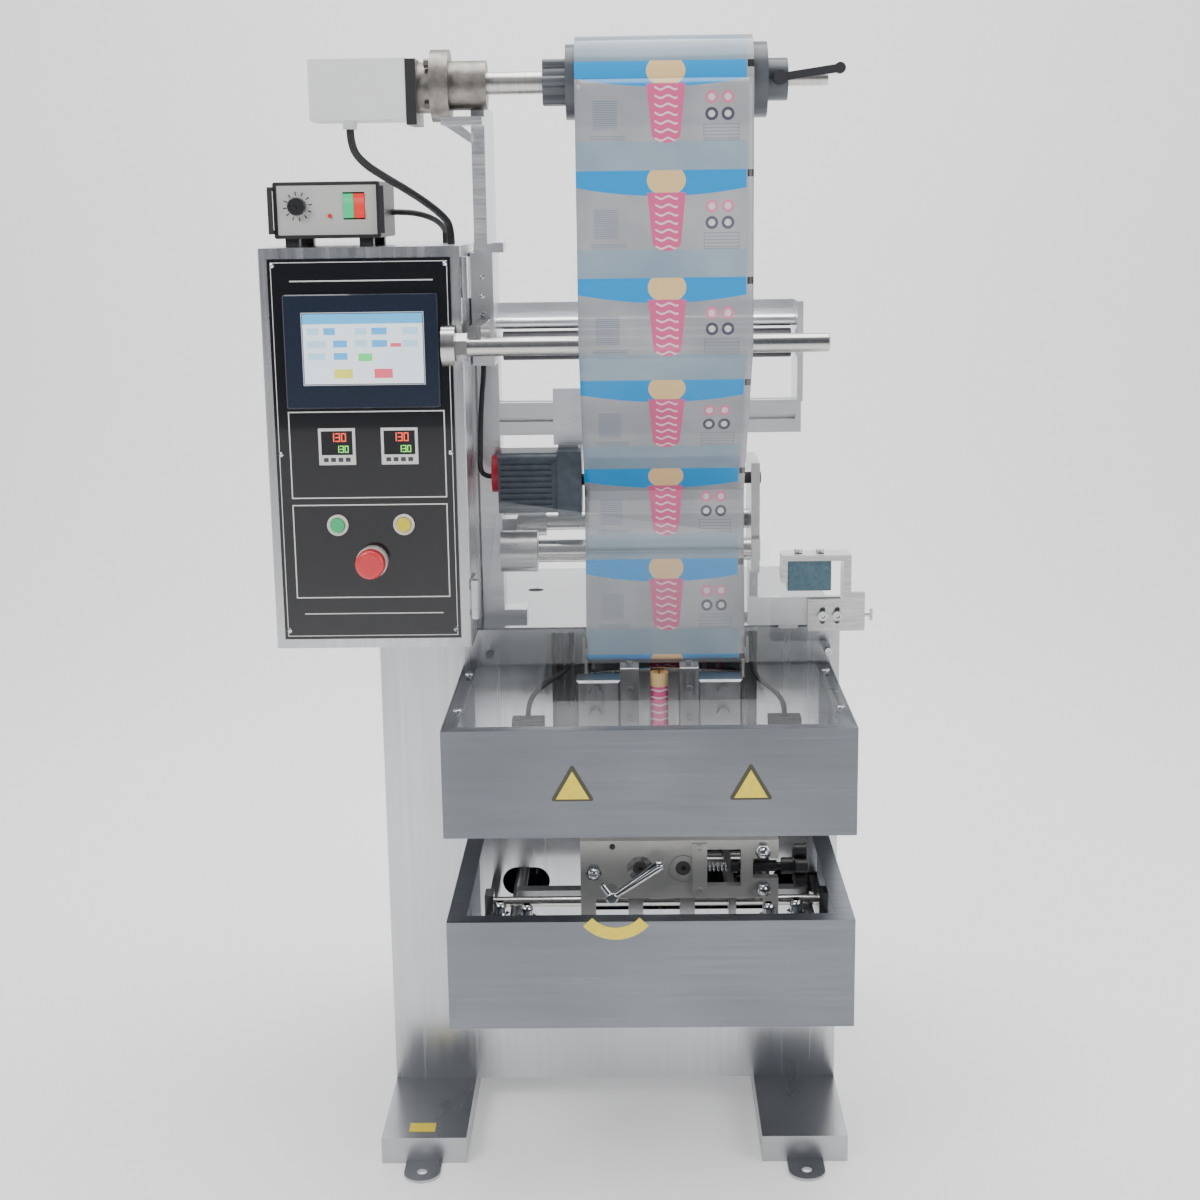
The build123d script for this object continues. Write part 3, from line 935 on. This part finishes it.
def build_cross_jaws():
    """Horizontal sealing jaws on two guide rods, each with its pusher and drive rod."""
    z0 = CROSS_Z - 16.0
    z1 = CROSS_Z + 16.0
    y0 = ROD_FRONT_Y - 14.0
    y1 = ROD_REAR_Y + 14.0
    for side, sign, drive_x in (("left", -1, -130.0), ("right", 1, 268.0)):
        face = WEB_X + sign * CROSS_OPEN
        back = face + sign * 20.0
        jaw = block(min(face, back), max(face, back), y0, y1, z0, z1)
        for i in range(4):
            groove_z = CROSS_Z - 9.0 + i * 6.0
            jaw -= block(face - 0.8, face + 0.8, y0 - 1, y1 + 1, groove_z - 0.8, groove_z + 0.8)
        push0 = back + sign * 46.0
        push1 = push0 + sign * 10.0
        jaw += block(min(push0, push1), max(push0, push1), y0, y1, z0, z1)
        for y in (ROD_FRONT_Y + 28.0, ROD_REAR_Y - 28.0):
            jaw += rod_x(min(back, push0) - 1, max(back, push0) + 1, y, CROSS_Z, 5.0)
        lever0 = min(push1, drive_x)
        lever1 = max(push1, drive_x)
        jaw += block(lever0 - 1, lever1 + 1, FRONT - 100, FRONT - 80, CROSS_Z - 16, CROSS_Z)
        jaw += rod_y(FRONT - 165, FRONT + 70, drive_x, SLOT_Z + 4, 9.0)
        for y in (ROD_FRONT_Y, ROD_REAR_Y):
            jaw -= rod_x(-300, 400, y, CROSS_Z, ROD_R + RUN)
        save(f"cross_jaw_{side}", jaw)


# ---------------------------------------------------------------- print mark sensor
def build_sensor():
    """Fixed bar on the deck, and the slide that carries the print mark sensor."""
    bar = block(FILM_X1 + 4, 320.0, SENSOR_BAR_Y, SENSOR_BAR_Y + 10, 727.0, 766.0)
    bar += block(236.0, 262.0, SENSOR_BAR_Y + 9, FRONT + 40, DECK_Z, DECK_Z + 10)
    for x in SENSOR_BOLT_X:
        bar -= rod_y(SENSOR_BAR_Y - 1, SENSOR_BAR_Y + 14, x, SENSOR_BOLT_Z, 3.0)
    save("sensor_bar", bar)

    y0 = SLIDE_Y
    y1 = SLIDE_Y + SLIDE_T
    reach = y0 + 40.0
    low = SENSOR_BOLT_Z - 22.0
    high = SENSOR_BOLT_Z + 22.0
    plate = block(274.0, 352.0, y0, y1, low, high)
    half = SENSOR_TRAVEL + 0.4
    for x in SENSOR_BOLT_X:
        plate -= block(x - 3.6, x + 3.6, y0 - 1, y1 + 1, SENSOR_BOLT_Z - half, SENSOR_BOLT_Z + half)
        plate -= rod_y(y0 - 1, y1 + 1, x, SENSOR_BOLT_Z - half, 3.6)
        plate -= rod_y(y0 - 1, y1 + 1, x, SENSOR_BOLT_Z + half, 3.6)
    plate += block(322.5, 333.0, y0, reach, high - 2, 826.0)
    plate += block(322.5, 352.0, y0, y1, high - 2, high + 10)
    plate += block(238.0, 333.0, y0, reach, 818.0, 826.0)
    plate += block(238.0, 246.0, y0, reach, 788.0, 826.0)
    for x in (262.0, 292.0):
        plate -= slot_cut_z(x - 5, x + 5, y0 + 8, reach - 6, 817.0, 827.0)
    plate += rod_x(351.0, 359.0, y0 + 5, SENSOR_BOLT_Z, 3.5)
    plate += Pos(361.0, y0 + 5, SENSOR_BOLT_Z) * Box(4, 6, 16)

    eye = block(246.0, 306.0, y0 + 3, reach - 1, 776.0, 818.0)
    eye = fillet(eye.edges().filter_by(Axis.Z), 2.0)
    for x in (262.0, 292.0):
        eye += rod_z(817.0, 830.0, x, y0 + 21, 3.5) + rod_z(826.0, 831.0, x, y0 + 21, 5.5)
    save("print_sensor", plate, eye)


def slot_cut_z(x0, x1, y0, y1, z0, z1):
    """A round-ended slot through a plate, running along Y."""
    r = (x1 - x0) / 2
    x = (x0 + x1) / 2
    return block(x0, x1, y0 + r, y1 - r, z0, z1) + rod_z(z0, z1, x, y0 + r, r) + rod_z(z0, z1, x, y1 - r, r)


# ---------------------------------------------------------------- main drive
def build_drive():
    """Main gear motor on the cabinet floor, and the cam shaft that works the jaws."""
    floor = FOOT_H + SHEET
    motor = rod_x(-230.0, -40.0, CAM_Y, floor + 72, 62.0)
    motor += block(-200.0, -80.0, CAM_Y - 50, CAM_Y + 50, floor, floor + 20)
    motor += block(-40.0, 60.0, CAM_Y - 62, CAM_Y + 62, floor, floor + 140)
    motor += rod_x(60.0, 96.0, CAM_Y, floor + 72, 12.0) + rod_x(70.0, 90.0, CAM_Y, floor + 72, 40.0)
    save("main_motor", motor)

    shaft = rod_x(CAM_BEARING_X[0], CAM_BEARING_X[1] + 14, CAM_Y, CAM_Z, 14.0)
    for x, r, shift in ((-130.0, 40.0, 9.0), (-20.0, 34.0, 0.0), (20.0, 46.0, 0.0), (200.0, 40.0, -9.0)):
        shaft += Pos(0, 0, shift) * rod_x(x - 9, x + 9, CAM_Y, CAM_Z, r)
    shaft += rod_x(71.0, 89.0, CAM_Y, CAM_Z, 60.0)
    save("cam_shaft", shaft)


# ---------------------------------------------------------------- cables
CABLES = {
    "cable_unwind": (10.0, [(-316.0, ROLL_Y, ROLL_Z - 53), (-316.0, ROLL_Y, ROLL_Z - 75),
                            (-302.0, ROLL_Y + 11, ROLL_Z - 95), (-278.0, ROLL_Y + 34, ROLL_Z - 112),
                            (-254.0, ROLL_Y + 64, ROLL_Z - 128), (-232.0, ROLL_Y + 96, ROLL_Z - 145),
                            (-214.0, ROLL_Y + 124, ROLL_Z - 162), (-206.0, ROLL_Y + 142, ROLL_Z - 176),
                            (-206.0, ROLL_Y + 142, BOX_Z1)]),
    "cable_controller": (8.0, [(-288.0, FRONT + 40, 1292.0), (-268.0, FRONT + 40, 1292.0),
                               (-246.0, FRONT + 50, 1288.0), (-230.0, FRONT + 70, 1280.0),
                               (-222.0, FRONT + 92, 1269.0), (-222.0, FRONT + 100, 1262.0),
                               (-222.0, FRONT + 100, BOX_Z1)]),
    "cable_feed": (7.0, [(-160.0, FEED_Y - 14, FEED_Z + 8), (-168.5, FEED_Y - 14, FEED_Z + 8),
                         (-176.0, FEED_Y - 20, FEED_Z + 18), (-174.0, FEED_Y - 26, FEED_Z + 44),
                         (-173.0, FEED_Y - 24, FEED_Z + 84), (-171.0, FEED_Y - 14, FEED_Z + 122),
                         (-168.0, FEED_Y - 8, FEED_Z + 148), (-168.0, FEED_Y - 8, TENSION_Z - 22)]),
    "cable_heater_left": (7.0, [(-110.0, FRONT - 96, 618.0), (-110.0, FRONT - 96, 634.0),
                                (-100.0, FRONT - 84, 650.0), (-82.0, FRONT - 62, 659.0),
                                (-66.0, FRONT - 38, 662.0), (-57.0, FRONT - 14, 667.0),
                                (-54.0, FRONT + 10, 678.0), (-54.0, FRONT + 30, 694.0),
                                (-54.0, FRONT + 36, 704.0), (-54.0, FRONT + 36, SHELL_TOP)]),
    "cable_heater_right": (7.0, [(238.0, FRONT - 96, 618.0), (238.0, FRONT - 96, 632.0),
                                 (229.0, FRONT - 86, 645.0), (215.0, FRONT - 66, 652.0),
                                 (204.5, FRONT - 42, 656.0), (200.5, FRONT - 16, 664.0),
                                 (200.5, FRONT + 10, 677.0), (200.5, FRONT + 30, 692.0),
                                 (200.5, FRONT + 36, 703.0), (200.5, FRONT + 36, SHELL_TOP)]),
}


def build_cables():
    """Each cable is a tube along straight runs joined by the largest tangent arcs."""
    for name, (diameter, route) in CABLES.items():
        points = [Vector(*p) for p in route]
        radii = []
        for before, here, after in zip(points, points[1:], points[2:]):
            turn = math.radians((here - before).get_angle(after - here))
            shorter = min((here - before).length, (after - here).length)
            radii.append(0.45 * shorter / math.tan(turn / 2))
        path = FilletPolyline(*points, radius=radii)
        start = Plane(origin=path @ 0, z_dir=path % 0)
        tube = sweep(start * Circle(diameter / 2), Wire(path.edges()), transition=Transition.ROUND)
        print(name, "radii", [round(r, 1) for r in radii], "length", round(path.length, 1),
              "volume ratio", round(tube.volume / (math.pi * diameter ** 2 / 4 * path.length), 4))
        save(name, tube)
    terminals = []
    for x in (-110.0, 238.0):
        body = block(x - 22, x + 22, FRONT - 112, FRONT - 84, 596.0, 616.0)
        terminals.append(body + rod_z(612.0, 618.0, x, FRONT - 96, 7.0))
    stays = (block(GUARD_X0 + SHEET, -130.0, FRONT - 104, FRONT - 92, 596.0, 600.0),
             block(258.0, GUARD_X1 - SHEET, FRONT - 104, FRONT - 92, 596.0, 600.0))
    save("heater_terminals", terminals[0] + stays[0], terminals[1] + stays[1])


build_feet()
build_cabinet()
build_deck()
build_rear_door()
build_guards()
build_fasteners()
build_control_cabinet()
build_control_door()
build_controller()
build_frame(build_unwind())
build_feed()
build_film()
build_former()
build_clear_guard()
build_vertical_jaws()
build_plates()
build_draw_rollers()
build_tension_screw()
build_clamp_lever()
build_cross_jaws()
build_sensor()
build_drive()
build_cables()
